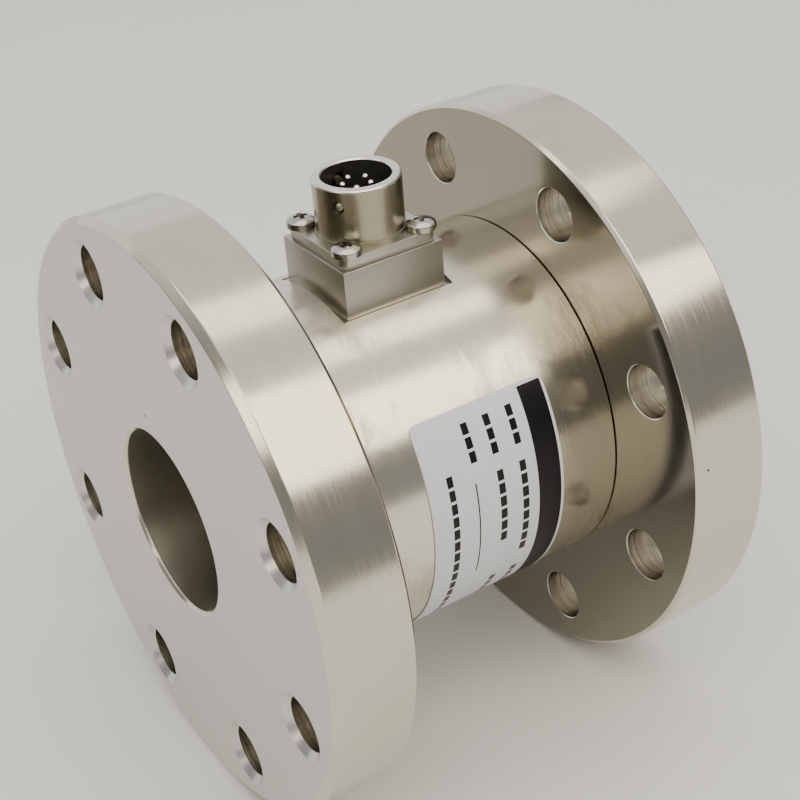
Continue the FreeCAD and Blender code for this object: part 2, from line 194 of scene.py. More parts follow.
class SensorSizes(bpy.types.PropertyGroup):
    """Sizes of the sensor's pieces"""
    flange_thickness: length("Flange thickness", "Thickness of each flange", 14.0)
    bore_radius: length("Bore radius", "Radius of the through bore", 15.5)
    bore_bevel: length("Bore bevel", "Bevel at the bore's mouths", 0.5)
    front_bevel: length("Front rim bevel", "Bevel of the near flange's outer rim", 1.2)
    rim_bevel: length("Rim bevel", "Bevel of the other three rims", 0.6)
    edge_round: length("Edge round", "Small round on the turned edges", 0.1)
    near_boss_radius: length("Near boss radius", "Radius of the boss that carries the sleeve", 28.16)
    far_boss_radius: length("Far boss radius", "Radius of the boss at the free end", 27.9)
    boss_length: length("Boss length", "Length of each boss", 8.0)
    tube_radius: length("Tube radius", "Outer radius of the strain tube", 19.5)
    tube_fillet: length("Tube fillet", "Fillet between tube and boss", 3.0)
    groove_depth: length("Groove depth", "Depth of the seal's groove", 1.6)
    groove_width: length("Groove width", "Width of the seal's groove", 2.8)
    groove_setback: length("Groove setback", "Distance from the groove to the far flange", 3.0)
    bolt_circle_radius: length("Bolt circle radius", "Radius of the bolt circle", 41.0)
    bolt_radius: length("Bolt hole radius", "Radius of the bolt holes", 4.5)
    bolt_bevel: length("Bolt hole bevel", "Bevel at the holes' outer mouths", 1.1)
    bolt_deburr: length("Bolt hole deburr", "Bevel at the holes' inner mouths", 0.12)
    sleeve_wall: length("Sleeve wall", "Wall of the cover sleeve", 2.5)
    sleeve_reach: length("Sleeve reach", "Length by which the sleeve narrows its end gap", 0.2)
    sleeve_edge: length("Sleeve edge", "Broken edge at the sleeve's free end", 0.08)
    seat_half_length: length("Seat half length", "Half the milled seat's length along the sensor", 10.2)
    seat_half_width: length("Seat half width", "Half the milled seat's width across the sensor", 9.7)
    wire_hole_radius: length("Wire hole radius", "Radius of the wire hole in the sleeve", 4.5)
    block_edge: length("Block edge", "Round on the block's edges", 0.1)
    block_bore_radius: length("Block bore radius", "Radius of the bore for the barrel", 7.1)
    tapped_depth: length("Tapped depth", "Depth of the tapped holes in the block", 6.5)
    tapped_radius: length("Tapped radius", "Radius of the tapped holes in the block", 1.25)
    plate_width: length("Plate width", "Width of the receptacle's square plate", 17.2)
    plate_thickness: length("Plate thickness", "Thickness of the receptacle's plate", 1.5)
    plate_corner: length("Plate corner", "Corner radius of the plate", 1.6)
    plate_edge: length("Plate edge", "Round on the plate's edges", 0.12)
    gasket_inset: length("Gasket inset", "Width by which the gasket falls short of the plate", 0.1)
    gasket_edge: length("Gasket edge", "Round on the gasket's edges", 0.05)
    shell_radius: length("Shell radius", "Outer radius of the receptacle's shell", 7.1)
    socket_radius: length("Socket radius", "Inner radius of the receptacle's shell", 5.55)
    shell_edge: length("Shell edge", "Round on the shell's edges", 0.05)
    rim_round: length("Rim round", "Round on the shell's outer rim", 0.45)
    socket_mouth: length("Socket mouth", "Bevel at the socket's mouth", 0.22)
    foot_radius: length("Foot ring radius", "Radius of the ring at the shell's foot", 7.25)
    foot_height: length("Foot ring height", "Height of the ring at the shell's foot", 0.45)
    barrel_radius: length("Barrel radius", "Outer radius of the rear barrel", 6.9)
    barrel_overlap: length("Barrel overlap", "Depth of the plate's bore edge in the barrel", 0.2)
    barrel_bore: length("Barrel bore", "Inner radius of the rear barrel", 5.9)
    shoulder_depth: length("Shoulder depth", "Depth of the insert's shoulder below the rim", 8.6)
    key_radius: length("Key hole radius", "Radius of the holes for the keys", 0.72)
    key_depth: length("Key depth", "Depth of the keys below the rim", 2.85)
    key_countersink: length("Key countersink", "Countersink round each key", 0.3)
    screw_pitch: length("Screw pitch", "Distance between the screws", 13.7)
    screw_radius: length("Screw radius", "Radius of the screws' shanks", 1.22)
    screw_length: length("Screw length", "Length of the screws under the head", 8.0)
    clearance_radius: length("Clearance radius", "Radius of the plate's screw holes", 1.35)
    head_radius: length("Head radius", "Radius of the screw heads", 2.4)
    head_foot: length("Head foot", "Bevel under the screw heads", 0.08)
    head_side: length("Head side", "Height of the heads' straight side", 0.84)
    head_crown: length("Head crown", "Height of the heads' crown", 0.94)
    head_round: length("Head round", "Round between the heads' side and crown", 0.38)
    recess_span: length("Recess span", "Width of the cross recess's cutter", 2.85)
    recess_slot: length("Recess slot", "Width of each slot of the cross recess's cutter", 0.95)
    recess_depth: length("Recess depth", "Depth of the cross recess", 1.1)
    contact_radius: length("Contact radius", "Radius of the contacts", 0.5)
    cup_radius: length("Cup radius", "Outer radius of the solder cups", 0.75)
    cup_length: length("Cup length", "Length of the solder cups", 3.2)
    cup_bore: length("Cup bore", "Inner radius of the solder cups", 0.45)
    cup_bore_depth: length("Cup bore depth", "Depth of the solder cups", 2.2)
    cup_slot_depth: length("Cup slot depth", "Depth of the slot in each cup's side", 1.1)
    cup_slot_offset: length("Cup slot offset", "Distance from the cup's axis to its slot", 0.22)
    label_width: length("Label width", "Width of the label along the sensor", 25.0)
    label_length: length("Label length", "Length of the label round the sleeve", 60.0)
    label_start: length("Label start", "Place of the label's near edge", -10.0)
    label_corner: length("Label corner", "Corner radius of the label", 1.5)
    label_thickness: length("Label thickness", "Thickness of the label", 0.15)
    label_glue: length("Label glue", "Glue between the label and the sleeve", 0.04)


class SensorColours(bpy.types.PropertyGroup):
    """Colours of the sensor's finishes"""
    plating: colour("Plating", "Bright nickel plating", 0.655, 0.615, 0.525)
    plating_dull: colour("Dull plating", "Darker clouds in the plating", 0.625, 0.585, 0.495)
    sleeve_bright: colour("Sleeve", "Plating of the sleeve", 0.73, 0.685, 0.585)
    sleeve_dull: colour("Sleeve patches", "Rough patches of the sleeve", 0.53, 0.49, 0.405)
    # Painted shade: the polished faces between the flanges are given a much darker colour than the rest
    # of the element's steel
    inner_face_painted_shade: colour("Inner faces", "Polished faces between the flanges", 0.325, 0.297, 0.242)
    face_grey: colour("Faced metal", "Satin outer faces", 0.635, 0.622, 0.608)
    shadow_metal: colour("Bore metal", "Machined wall of the bore", 0.60, 0.57, 0.49)
    hole_metal: colour("Hole metal", "Drilled walls of the bolt holes", 0.70, 0.66, 0.58)
    block_metal: colour("Block", "Satin metal of the block", 0.43, 0.41, 0.367)
    shell_metal: colour("Shell", "Plating of the receptacle", 0.39, 0.363, 0.275)
    # Painted highlight: the shell's upward rim faces take this colour, lighter than the shell's wall;
    # the plate takes darker shares of it
    rim_highlight_and_plate: colour("Shell rim", "Bright rim and plate of the receptacle", 0.78, 0.755, 0.68)
    screw_metal: colour("Screws", "Bright plating of the screws", 0.50, 0.49, 0.46)
    label_white: colour("Label", "White of the label", 0.71, 0.72, 0.785)
    label_black: colour("Label band", "Black of the label's band", 0.008, 0.007, 0.009)
    floor: colour("Floor", "Pale floor", 0.73, 0.73, 0.72)


def clear_selection():
    """Leaves edit mode and deselects every object."""
    if bpy.context.object and bpy.context.object.mode != "OBJECT":
        bpy.ops.object.mode_set(mode="OBJECT")
    bpy.ops.object.select_all(action="DESELECT")


def make_active(piece):
    """Selects one piece alone."""
    clear_selection()
    piece.select_set(True)
    bpy.context.view_layer.objects.active = piece


def apply_place(piece):
    """Writes a piece's place, turn and scale into its mesh."""
    make_active(piece)
    bpy.ops.object.transform_apply(location=True, rotation=True, scale=True)


def edit(piece, kind="FACE"):
    """Opens one piece in edit mode with nothing selected."""
    make_active(piece)
    bpy.ops.object.mode_set(mode="EDIT")
    bpy.ops.mesh.select_mode(type=kind)
    bpy.ops.mesh.select_all(action="DESELECT")
    return bmesh.from_edit_mesh(piece.data)


def select_faces(piece, test):
    """Opens a piece in edit mode and selects the faces whose centre and normal pass a test."""
    mesh = edit(piece)
    for face in mesh.faces:
        if test(face.calc_center_median(), face.normal):
            face.select_set(True)
    bmesh.update_edit_mesh(piece.data)


def box_piece(name, middle, sides, degrees=0):
    """Box with given sides about a middle, turned about Z, with its place in its mesh."""
    clear_selection()
    bpy.ops.mesh.primitive_cube_add(size=1, location=middle)
    piece = bpy.context.object
    piece.name = name
    piece.scale = sides
    piece.rotation_euler = (0, 0, math.radians(degrees))
    apply_place(piece)
    return piece


def clean_shell(piece):
    """Merges doubled points and turns every face outwards."""
    make_active(piece)
    bpy.ops.object.mode_set(mode="EDIT")
    bpy.ops.mesh.select_all(action="SELECT")
    bpy.ops.mesh.remove_doubles(threshold=1e-6)
    bpy.ops.mesh.normals_make_consistent(inside=False)
    bpy.ops.object.mode_set(mode="OBJECT")


def turn(name, stations, axis="X", centre=(0, 0, 0), steps=96, ring=True):
    """Piece turned about an axis, drawn ring by ring through stations of (place, radius)."""
    clear_selection()
    along = ALONG[axis]
    centre = Vector(centre)
    place, radius = stations[0]
    tilt = (0, math.pi / 2, 0) if axis == "X" else (0, 0, 0)
    bpy.ops.mesh.primitive_circle_add(
        vertices=steps, radius=radius, location=centre + along * place, rotation=tilt)
    piece = bpy.context.object
    piece.name = name
    apply_place(piece)
    bpy.ops.object.mode_set(mode="EDIT")
    bpy.ops.mesh.select_mode(type="VERT")
    bpy.ops.mesh.select_all(action="SELECT")
    if not ring:
        bpy.ops.mesh.edge_face_add()
        bpy.ops.mesh.select_all(action="SELECT")
    for next_place, next_radius in stations[1:] + (stations[:1] if ring else []):
        step = along * (next_place - place)
        bpy.ops.mesh.extrude_region_move(TRANSFORM_OT_translate={"value": step})
        ratio = next_radius / radius
        if abs(ratio - 1) > 1e-9:
            scale = [1 if part else ratio for part in along]
            bpy.ops.transform.resize(value=scale, center_override=centre + along * next_place)
        place, radius = next_place, next_radius
    bpy.ops.object.mode_set(mode="OBJECT")
    clean_shell(piece)
    return piece


def arc(centre_place, centre_radius, size, start, end, count):
    """Stations along a round between two angles, measured from the axis in degrees."""
    angles = [math.radians(start + (end - start) * i / count) for i in range(count + 1)]
    return [(centre_place + size * math.cos(a), centre_radius + size * math.sin(a)) for a in angles]


def duplicate(piece, name):
    """Copy of a piece with its own mesh."""
    make_active(piece)
    bpy.ops.object.duplicate(linked=False)
    copy = bpy.context.object
    copy.name = name
    return copy


def join(pieces, name):
    """Joins pieces into the first one."""
    clear_selection()
    for piece in pieces:
        piece.select_set(True)
    bpy.context.view_layer.objects.active = pieces[0]
    bpy.ops.object.join()
    pieces[0].name = name
    return pieces[0]


def modify(piece, kind, **settings):
    """Adds a modifier and applies it."""
    make_active(piece)
    modifier = piece.modifiers.new(kind.lower(), kind)
    for setting, value in settings.items():
        setattr(modifier, setting, value)
    bpy.ops.object.modifier_apply(modifier=modifier.name)


def round_edges(piece, width, segments=2):
    """Small rounds on the sharp edges."""
    modify(piece, "BEVEL", width=width, segments=segments, limit_method="ANGLE",
           angle_limit=math.radians(SHARP_ANGLE), use_clamp_overlap=True)


def cut(piece, tool):
    """Takes a tool's shape out of a piece."""
    modify(piece, "BOOLEAN", operation="DIFFERENCE", object=tool, solver="EXACT")
    bpy.data.objects.remove(tool)


def drill(piece, spot, radius, low, high, steps):
    """Drills a hole upwards at a spot in plan, between two heights."""
    cut(piece, turn("drill", [(low, radius), (high, radius)], axis="Z",
                    centre=(*spot, 0), steps=steps, ring=False))


def weld(piece, other):
    """Makes one body of two."""
    modify(piece, "BOOLEAN", operation="UNION", object=other, solver="EXACT")
    bpy.data.objects.remove(other)


def smooth(piece, angle=SHARP_ANGLE):
    """Smooth shading across edges flatter than an angle."""
    make_active(piece)
    bpy.ops.object.shade_smooth_by_angle(angle=math.radians(angle))


def paint(piece, material, test=None):
    """Gives a piece a material, or the faces that pass a test."""
    piece.data.materials.append(material)
    if test is None:
        return
    index = len(piece.data.materials) - 1
    select_faces(piece, test)
    piece.active_material_index = index
    bpy.ops.object.material_slot_assign()
    bpy.ops.object.mode_set(mode="OBJECT")


def repaint(node, material):
    """Gives a node of the frame a better material in its own slots."""
    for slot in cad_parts[node].material_slots:
        slot.material = material


def settle(piece, node):
    """Puts a finished piece in the place of its node."""
    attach(piece, "root")
    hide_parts(node)


def scaled(shade, share):
    """Colour with its brightness times a share."""
    return tuple(share * part for part in shade)


class Finish:
    """Material in the making, with short ways to add and join its nodes."""

    def __init__(self, name, **sockets):
        self.material = bpy.data.materials.new(name)
        self.material.use_nodes = True
        self.tree = self.material.node_tree
        self.tree.nodes.clear()
        self.shader = self.add("ShaderNodeBsdfPrincipled")
        output = self.add("ShaderNodeOutputMaterial")
        self.link(self.shader.outputs["BSDF"], output.inputs["Surface"])
        for socket, value in sockets.items():
            self.shader.inputs[socket.replace("_", " ")].default_value = value
        self.place = self.add("ShaderNodeTexCoord").outputs["Object"]

    def add(self, kind, **settings):
        node = self.tree.nodes.new(kind)
        for setting, value in settings.items():
            setattr(node, setting, value)
        return node

    def link(self, source, target):
        self.tree.links.new(source, target)

    def math(self, operation, first, second=None):
        node = self.add("ShaderNodeMath", operation=operation)
        for socket, value in zip(node.inputs, (first, second)):
            if isinstance(value, (int, float)):
                socket.default_value = value
            elif value is not None:
                self.link(value, socket)
        return node.outputs[0]

    def stretched(self, x, y, z):
        """Coordinates scaled along each axis, in pattern units per metre."""
        node = self.add("ShaderNodeMapping")
        node.inputs["Scale"].default_value = (x, y, z)
        self.link(self.place, node.inputs["Vector"])
        return node.outputs["Vector"]

    def polar(self, radial, along):
        """Coordinates that vary with the distance from the sensor's axis and along it."""
        parts = self.add("ShaderNodeSeparateXYZ")
        self.link(self.place, parts.inputs[0])
        aside = self.math("POWER", parts.outputs["Y"], 2)
        above = self.math("POWER", parts.outputs["Z"], 2)
        radius = self.math("SQRT", self.math("ADD", aside, above))
        vector = self.add("ShaderNodeCombineXYZ")
        self.link(self.math("MULTIPLY", radius, radial), vector.inputs["X"])
        self.link(self.math("MULTIPLY", parts.outputs["X"], along), vector.inputs["Y"])
        return vector.outputs[0]

    def noise(self, vector, detail=3.0, roughness=0.5, distortion=0.0):
        """Noise at the scale of the coordinates it gets."""
        node = self.add("ShaderNodeTexNoise")
        self.link(vector, node.inputs["Vector"])
        node.inputs["Scale"].default_value = 1.0
        node.inputs["Detail"].default_value = detail
        node.inputs["Roughness"].default_value = roughness
        node.inputs["Distortion"].default_value = distortion
        return node.outputs["Fac"]

    def remap(self, value, low, high, to_low, to_high):
        """Value brought from one range to another, and held inside it."""
        node = self.add("ShaderNodeMapRange", clamp=True)
        self.link(value, node.inputs["Value"])
        sockets = ("From Min", "From Max", "To Min", "To Max")
        for socket, number in zip(sockets, (low, high, to_low, to_high)):
            node.inputs[socket].default_value = number
        return node.outputs["Result"]

    def mix(self, factor, first, second):
        """Blend of two colours, each a fixed one or a socket."""
        node = self.add("ShaderNodeMix", data_type="RGBA")
        self.link(factor, node.inputs["Factor"])
        for socket, value in (("A", first), ("B", second)):
            target = [item for item in node.inputs if item.name == socket and item.type == "RGBA"][0]
            if hasattr(value, "links"):
                self.link(value, target)
            else:
                target.default_value = (*value, 1)
        return [item for item in node.outputs if item.type == "RGBA"][0]

    def colour(self, value):
        self.link(value, self.shader.inputs["Base Color"])

    def roughness(self, value):
        self.link(value, self.shader.inputs["Roughness"])

    def pit(self, point, radius):
        """Darkens a small round spot about a point."""
        node = self.add("ShaderNodeVectorMath", operation="DISTANCE")
        self.link(self.place, node.inputs[0])
        node.inputs[1].default_value = point
        spot = self.remap(node.outputs["Value"], 0.5 * radius, radius, 1, 0)
        under = self.shader.inputs["Base Color"].links[0].from_socket
        self.colour(self.mix(spot, under, PIT_METAL))

    def bump(self, height, depth, under=None):
        """Fine relief of a depth in microns, on its own or over another."""
        node = self.add("ShaderNodeBump")
        node.inputs["Strength"].default_value = 1.0
        node.inputs["Distance"].default_value = depth * MICRON
        self.link(height, node.inputs["Height"])
        if under is not None:
            self.link(under, node.inputs["Normal"])
        self.link(node.outputs["Normal"], self.shader.inputs["Normal"])
        return node.outputs["Normal"]


def plated(name, bright, dull):
    """Plated metal with faint clouds and fine marks, and roughness that varies with them."""
    polish, wear, marks, depth, cloud = METAL[name]
    finish = Finish(name, Metallic=1.0)
    clouds = finish.noise(finish.stretched(cloud, cloud, cloud), detail=4.0, roughness=0.6)
    spread = finish.remap(clouds, 0.3, 0.7, polish, wear)
    if marks == "even":
        lines = finish.noise(finish.stretched(*EVEN_MARKS), detail=1.0)
    else:
        on_wall = marks == "turned"
        vector = finish.stretched(*TURNED_MARKS) if on_wall else finish.polar(*FACED_MARKS)
        lines = finish.noise(vector, detail=2.0)
        spread = finish.math("ADD", spread, finish.remap(lines, 0.3, 0.7, -0.03, 0.03))
    finish.colour(finish.mix(finish.remap(clouds, 0.32, 0.68, 0, 1), tuple(dull), tuple(bright)))
    finish.roughness(spread)
    finish.bump(lines, depth)
    return finish


def sleeve_finish(colours):
    """Satin plating of the sleeve with rough, scratchy patches."""
    finish = Finish("sleeve_plating", Metallic=1.0)
    patches = finish.noise(finish.stretched(70, 62, 62), detail=4.0, roughness=0.6, distortion=0.5)
    patch = finish.remap(patches, 0.50, 0.62, 0, 1)
    streaks = finish.noise(finish.stretched(1500, 260, 260), detail=4.0, roughness=0.6)
    grain = finish.noise(finish.stretched(4200, 90, 90), detail=2.0)
    worn = finish.math("MULTIPLY", patch, finish.remap(streaks, 0.35, 0.6, 0.2, 1))
    finish.colour(finish.mix(worn, tuple(colours.sleeve_bright), tuple(colours.sleeve_dull)))
    smooth_part = finish.remap(grain, 0.3, 0.7, 0.18, 0.22)
    finish.roughness(finish.math("ADD", smooth_part, finish.math("MULTIPLY", worn, 0.14)))
    base = finish.bump(grain, 2)
    finish.bump(finish.math("MULTIPLY", streaks, patch), 30, under=base)
    return finish


def hole_finish(colours):
    """Drilled wall with uneven rings."""
    finish = Finish("drilled_wall", Metallic=1.0)
    rings = finish.noise(finish.stretched(1700, 30, 30), detail=2.0, roughness=0.5)
    coarse = finish.noise(finish.stretched(500, 220, 220), detail=2.0)
    bright = tuple(colours.hole_metal)
    dark = scaled(bright, 0.72)
    finish.colour(finish.mix(finish.remap(coarse, 0.35, 0.65, 0, 1), dark, bright))
    finish.roughness(finish.remap(rings, 0.3, 0.7, 0.20, 0.30))
    finish.bump(rings, 80)
    return finish


def label_finish(colours, width, run):
    """White film with a black band, and rows of plain dashes where print would be."""
    finish = Finish("label_film", Specular_IOR_Level=0.2)
    parts = finish.add("ShaderNodeSeparateXYZ")
    finish.link(finish.add("ShaderNodeUVMap").outputs["UV"], parts.inputs[0])
    across = finish.math("MULTIPLY", parts.outputs["X"], width / MM)
    down = finish.math("MULTIPLY", finish.math("SUBTRACT", 1.0, parts.outputs["Y"]), run / MM)

    def between(value, low, high):
        inside = finish.math("GREATER_THAN", value, low)
        return finish.math("MULTIPLY", inside, finish.math("LESS_THAN", value, high))

    def block(low_across, high_across, low_down, high_down):
        inside = between(across, low_across, high_across)
        return finish.math("MULTIPLY", inside, between(down, low_down, high_down))

    ink = finish.math("MAXIMUM", block(*LABEL_BAND), block(*LABEL_LINE))
    wave = finish.math("PINGPONG", down, DASH_HALF_PERIOD)
    dash = finish.math("GREATER_THAN", wave, DASH_HALF_GAP)
    for low, tall, runs in LABEL_ROWS:
        for start, end in runs:
            dashes = finish.math("MULTIPLY", block(low, low + tall, start, end), dash)
            ink = finish.math("MAXIMUM", ink, dashes)
    paper = finish.noise(finish.stretched(160, 160, 160), detail=2.0)
    white = finish.mix(paper, tuple(colours.label_white), scaled(colours.label_white, 0.96))
    finish.colour(finish.mix(ink, white, tuple(colours.label_black)))
    finish.roughness(finish.remap(paper, 0.3, 0.7, 0.28, 0.36))
    finish.bump(finish.noise(finish.stretched(700, 700, 700)), 4)
    return finish


def plain_finish(name, metallic=0.0, variation=0.12, shade=None):
    """Even finish with a fine grain, in its own colour or a given one."""
    own_shade, roughness, grain, depth = PLAIN[name]
    shade = tuple(own_shade if shade is None else shade)
    finish = Finish(name, Metallic=metallic)
    clouds = finish.noise(finish.stretched(grain, grain, grain), detail=3.0)
    finish.colour(finish.mix(clouds, scaled(shade, 1 - variation), shade))
    finish.roughness(finish.remap(clouds, 0.3, 0.7, roughness - 0.05, roughness + 0.05))
    finish.bump(clouds, depth)
    return finish


def bolt_angles():
    """Angles of the bolt holes about the sensor's axis, half a pitch off the connector."""
    return [math.tau * (index + 0.5) / BOLT_HOLES for index in range(BOLT_HOLES)]


def bolt_tool(sizes, outer, inner):
    """Cutter for one flange's eight holes, bevelled at both mouths."""
    side = math.copysign(1, outer - inner)
    over = 1.0 * MM
    tool = turn("bolt_tool", [
        (outer + side * over, sizes.bolt_radius + sizes.bolt_bevel + over),
        (outer - side * sizes.bolt_bevel, sizes.bolt_radius),
        (inner + side * sizes.bolt_deburr, sizes.bolt_radius),
        (inner - side * over, sizes.bolt_radius + sizes.bolt_deburr + over),
    ], steps=BOLT_STEPS, ring=False)
    tool.location = (0, 0, sizes.bolt_circle_radius)
    apply_place(tool)
    tools = []
    for angle in bolt_angles():
        copy = duplicate(tool, "bolt_tool_copy")
        copy.matrix_world = Matrix.Rotation(angle, 4, "X")
        apply_place(copy)
        tools.append(copy)
    bpy.data.objects.remove(tool)
    return join(tools, "bolt_tools")


def element_stations(sizes):
    """Section of the sensing element, from the near bore mouth outwards and back along the bore."""
    low, high = ELEMENT_LOW.x, ELEMENT_HIGH.x
    rim = ELEMENT_HIGH.z
    near_inner = low + sizes.flange_thickness
    far_inner = high - sizes.flange_thickness
    near_step = near_inner + sizes.boss_length
    far_step = far_inner - sizes.boss_length
    fillet = sizes.tube_fillet
    groove_end = far_inner - sizes.groove_setback
    groove_start = groove_end - sizes.groove_width
    groove_floor = sizes.far_boss_radius - sizes.groove_depth
    above_tube = sizes.tube_radius + fillet
    near_root = arc(near_step + fillet, above_tube, fillet, 180, 270, ROUND_STEPS)
    far_root = arc(far_step - fillet, above_tube, fillet, 270, 360, ROUND_STEPS)
    return [
        (low + sizes.bore_bevel, sizes.bore_radius),
        (low, sizes.bore_radius + sizes.bore_bevel),
        (low, rim - sizes.front_bevel),
        (low + sizes.front_bevel, rim),
        (near_inner - sizes.rim_bevel, rim),
        (near_inner, rim - sizes.rim_bevel),
        (near_inner, sizes.near_boss_radius),
        (near_step, sizes.near_boss_radius),
        *near_root,
        *far_root,
        (far_step, sizes.far_boss_radius),
        (groove_start, sizes.far_boss_radius),
        (groove_start, groove_floor),
        (groove_end, groove_floor),
        (groove_end, sizes.far_boss_radius),
        (far_inner, sizes.far_boss_radius),
        (far_inner, rim - sizes.rim_bevel),
        (far_inner + sizes.rim_bevel, rim),
        (high - sizes.rim_bevel, rim),
        (high, rim - sizes.rim_bevel),
        (high, sizes.bore_radius + sizes.bore_bevel),
        (high - sizes.bore_bevel, sizes.bore_radius),
    ]


class TORQUE_OT_element(bpy.types.Operator):
    """Turn the one-piece element, drill its flanges and finish each of its surfaces"""
    bl_idname = "torque.element"
    bl_label = "Sensing element"

    def execute(self, context):
        sizes = context.scene.torque_sizes
        colours = context.scene.torque_colours
        element = turn("flanged_element", element_stations(sizes), steps=FLANGE_STEPS)
        round_edges(element, sizes.edge_round)
        low, high = ELEMENT_LOW.x, ELEMENT_HIGH.x
        cut(element, bolt_tool(sizes, low, low + sizes.flange_thickness))
        cut(element, bolt_tool(sizes, high, high - sizes.flange_thickness))
        clean_shell(element)
        smooth(element, TURNED_ANGLE)
        axes = [Vector((0, math.cos(a), math.sin(a))) * sizes.bolt_circle_radius for a in bolt_angles()]

        def off_bolt(centre):
            flat = Vector((0, centre.y, centre.z))
            return min((flat - axis).length for axis in axes)

        def on_wall(centre, normal):
            return off_bolt(centre) < sizes.bolt_radius + 2 * HAIR and abs(normal.x) < WALL

        def on_mouth(centre, normal):
            reach = sizes.bolt_radius + sizes.bolt_bevel
            return off_bolt(centre) < reach and WALL <= abs(normal.x) < FLAT

        def on_outer_face(centre, normal):
            return abs(normal.x) > FLAT and abs(abs(centre.x) - high) < NEAR

        def on_inner_face(centre, normal):
            inner = high - sizes.flange_thickness
            return abs(normal.x) > FLAT and abs(abs(centre.x) - inner) < NEAR

        def on_bore(centre, normal):
            return math.hypot(centre.y, centre.z) < sizes.bore_radius + NEAR

        grey = colours.face_grey
        rims = plated("turned_rim", colours.plating, colours.plating_dull)
        rims.pit(*RIM_PIT)
        paint(element, rims.material)
        faced = plated("faced_metal", grey, scaled(grey, 0.95))
        faced.pit(*FACE_PIT)
        paint(element, faced.material, on_outer_face)
        # Painted shade: the faces between the flanges are painted darker than the element's other steel
        polished = plated("polished_face_painted_shade", colours.inner_face_painted_shade, scaled(colours.inner_face_painted_shade, 0.94))
        paint(element, polished.material, on_inner_face)
        bore = plated("bored_wall", colours.shadow_metal, scaled(colours.shadow_metal, 0.86))
        paint(element, bore.material, on_bore)
        paint(element, hole_finish(colours).material, on_wall)
        paint(element, plated("hole_mouth", grey, scaled(grey, 0.95)).material, on_mouth)
        settle(element, "sensing_element")
        return {"FINISHED"}


class TORQUE_OT_sleeve(bpy.types.Operator):
    """Turn the cover sleeve and mill the seat for the connector block"""
    bl_idname = "torque.sleeve"
    bl_label = "Protective sleeve"

    def execute(self, context):
        sizes = context.scene.torque_sizes
        colours = context.scene.torque_colours
        outer = SLEEVE_HIGH.y
        inner = outer - sizes.sleeve_wall
        start, end = SLEEVE_LOW.x, SLEEVE_HIGH.x + sizes.sleeve_reach
        sleeve = turn("cover_sleeve", [
            (start, inner),
            (start, outer),
            (end - sizes.sleeve_edge, outer),
            (end, outer - sizes.sleeve_edge),
            (end, inner),
        ], steps=FLANGE_STEPS)
        seat_top = outer + sizes.sleeve_wall
        seat_sides = (2 * sizes.seat_half_length, 2 * sizes.seat_half_width, seat_top - BLOCK_LOW.z)
        cut(sleeve, box_piece("seat_tool", (0, 0, (BLOCK_LOW.z + seat_top) / 2), seat_sides))
        drill(sleeve, (CONNECTOR_X, 0), sizes.wire_hole_radius, 0, outer, WIRE_HOLE_STEPS)
        clean_shell(sleeve)
        smooth(sleeve, SLEEVE_ANGLE)
        paint(sleeve, sleeve_finish(colours).material)
        settle(sleeve, "protective_sleeve")
        return {"FINISHED"}


class TORQUE_OT_block(bpy.types.Operator):
    """Mill the connector block with crisp edges, its bore and its tapped holes"""
    bl_idname = "torque.block"
    bl_label = "Connector block"

    def execute(self, context):
        sizes = context.scene.torque_sizes
        colours = context.scene.torque_colours
        block = box_piece("milled_block", (BLOCK_LOW + BLOCK_HIGH) / 2, BLOCK_HIGH - BLOCK_LOW)
        round_edges(block, sizes.block_edge, 3)
        above = BLOCK_HIGH.z + MM
        drill(block, (CONNECTOR_X, 0), sizes.block_bore_radius, BLOCK_LOW.z - MM, above, BORE_STEPS)
        bottom = BLOCK_HIGH.z - sizes.tapped_depth
        for spot in screw_places(sizes):
            drill(block, spot, sizes.tapped_radius, bottom, above, SCREW_HOLE_STEPS)
        clean_shell(block)
        smooth(block)
        metal = colours.block_metal
        paint(block, plated("block_metal", metal, scaled(metal, 0.98)).material)
        settle(block, "connector_block")
        return {"FINISHED"}


def screw_places(sizes):
    """Centres of the four screws, in the order of their nodes."""
    half = sizes.screw_pitch / 2
    return [(CONNECTOR_X + i * half, j * half) for i, j in ((-1, -1), (1, -1), (1, 1), (-1, 1))]


def plate_blank(sizes, low, high, width, edge):
    """Square plate with rounded corners, bored for the barrel and the four screws."""
    middle = (CONNECTOR_X, 0, (low + high) / 2)
    plate = box_piece("square_plate", middle, (width, width, high - low))
    mesh = edit(plate, "EDGE")
    for line in mesh.edges:
        first, second = line.verts
        if abs(first.co.z - second.co.z) > (high - low) / 2:
            line.select_set(True)
    bmesh.update_edit_mesh(plate.data)
    bpy.ops.mesh.bevel(offset=sizes.plate_corner, segments=CORNER_STEPS)
    bpy.ops.object.mode_set(mode="OBJECT")
    round_edges(plate, edge)
    bore = sizes.barrel_radius - sizes.barrel_overlap
    drill(plate, (CONNECTOR_X, 0), bore, low - MM, high + MM, BORE_STEPS)
    for spot in screw_places(sizes):
        drill(plate, spot, sizes.clearance_radius, low - MM, high + MM, SCREW_HOLE_STEPS)
    return plate


class TORQUE_OT_gasket(bpy.types.Operator):
    """Cut the thin gasket between block and receptacle"""
    bl_idname = "torque.gasket"
    bl_label = "Gasket"

    def execute(self, context):
        sizes = context.scene.torque_sizes
        width = sizes.plate_width - sizes.gasket_inset
        gasket = plate_blank(sizes, GASKET_LOW.z, GASKET_HIGH.z, width, sizes.gasket_edge)
        gasket.name = "flat_gasket"
        clean_shell(gasket)
        smooth(gasket)
        paint(gasket, plain_finish("gasket_rubber").material)
        settle(gasket, "connector_gasket")
        return {"FINISHED"}


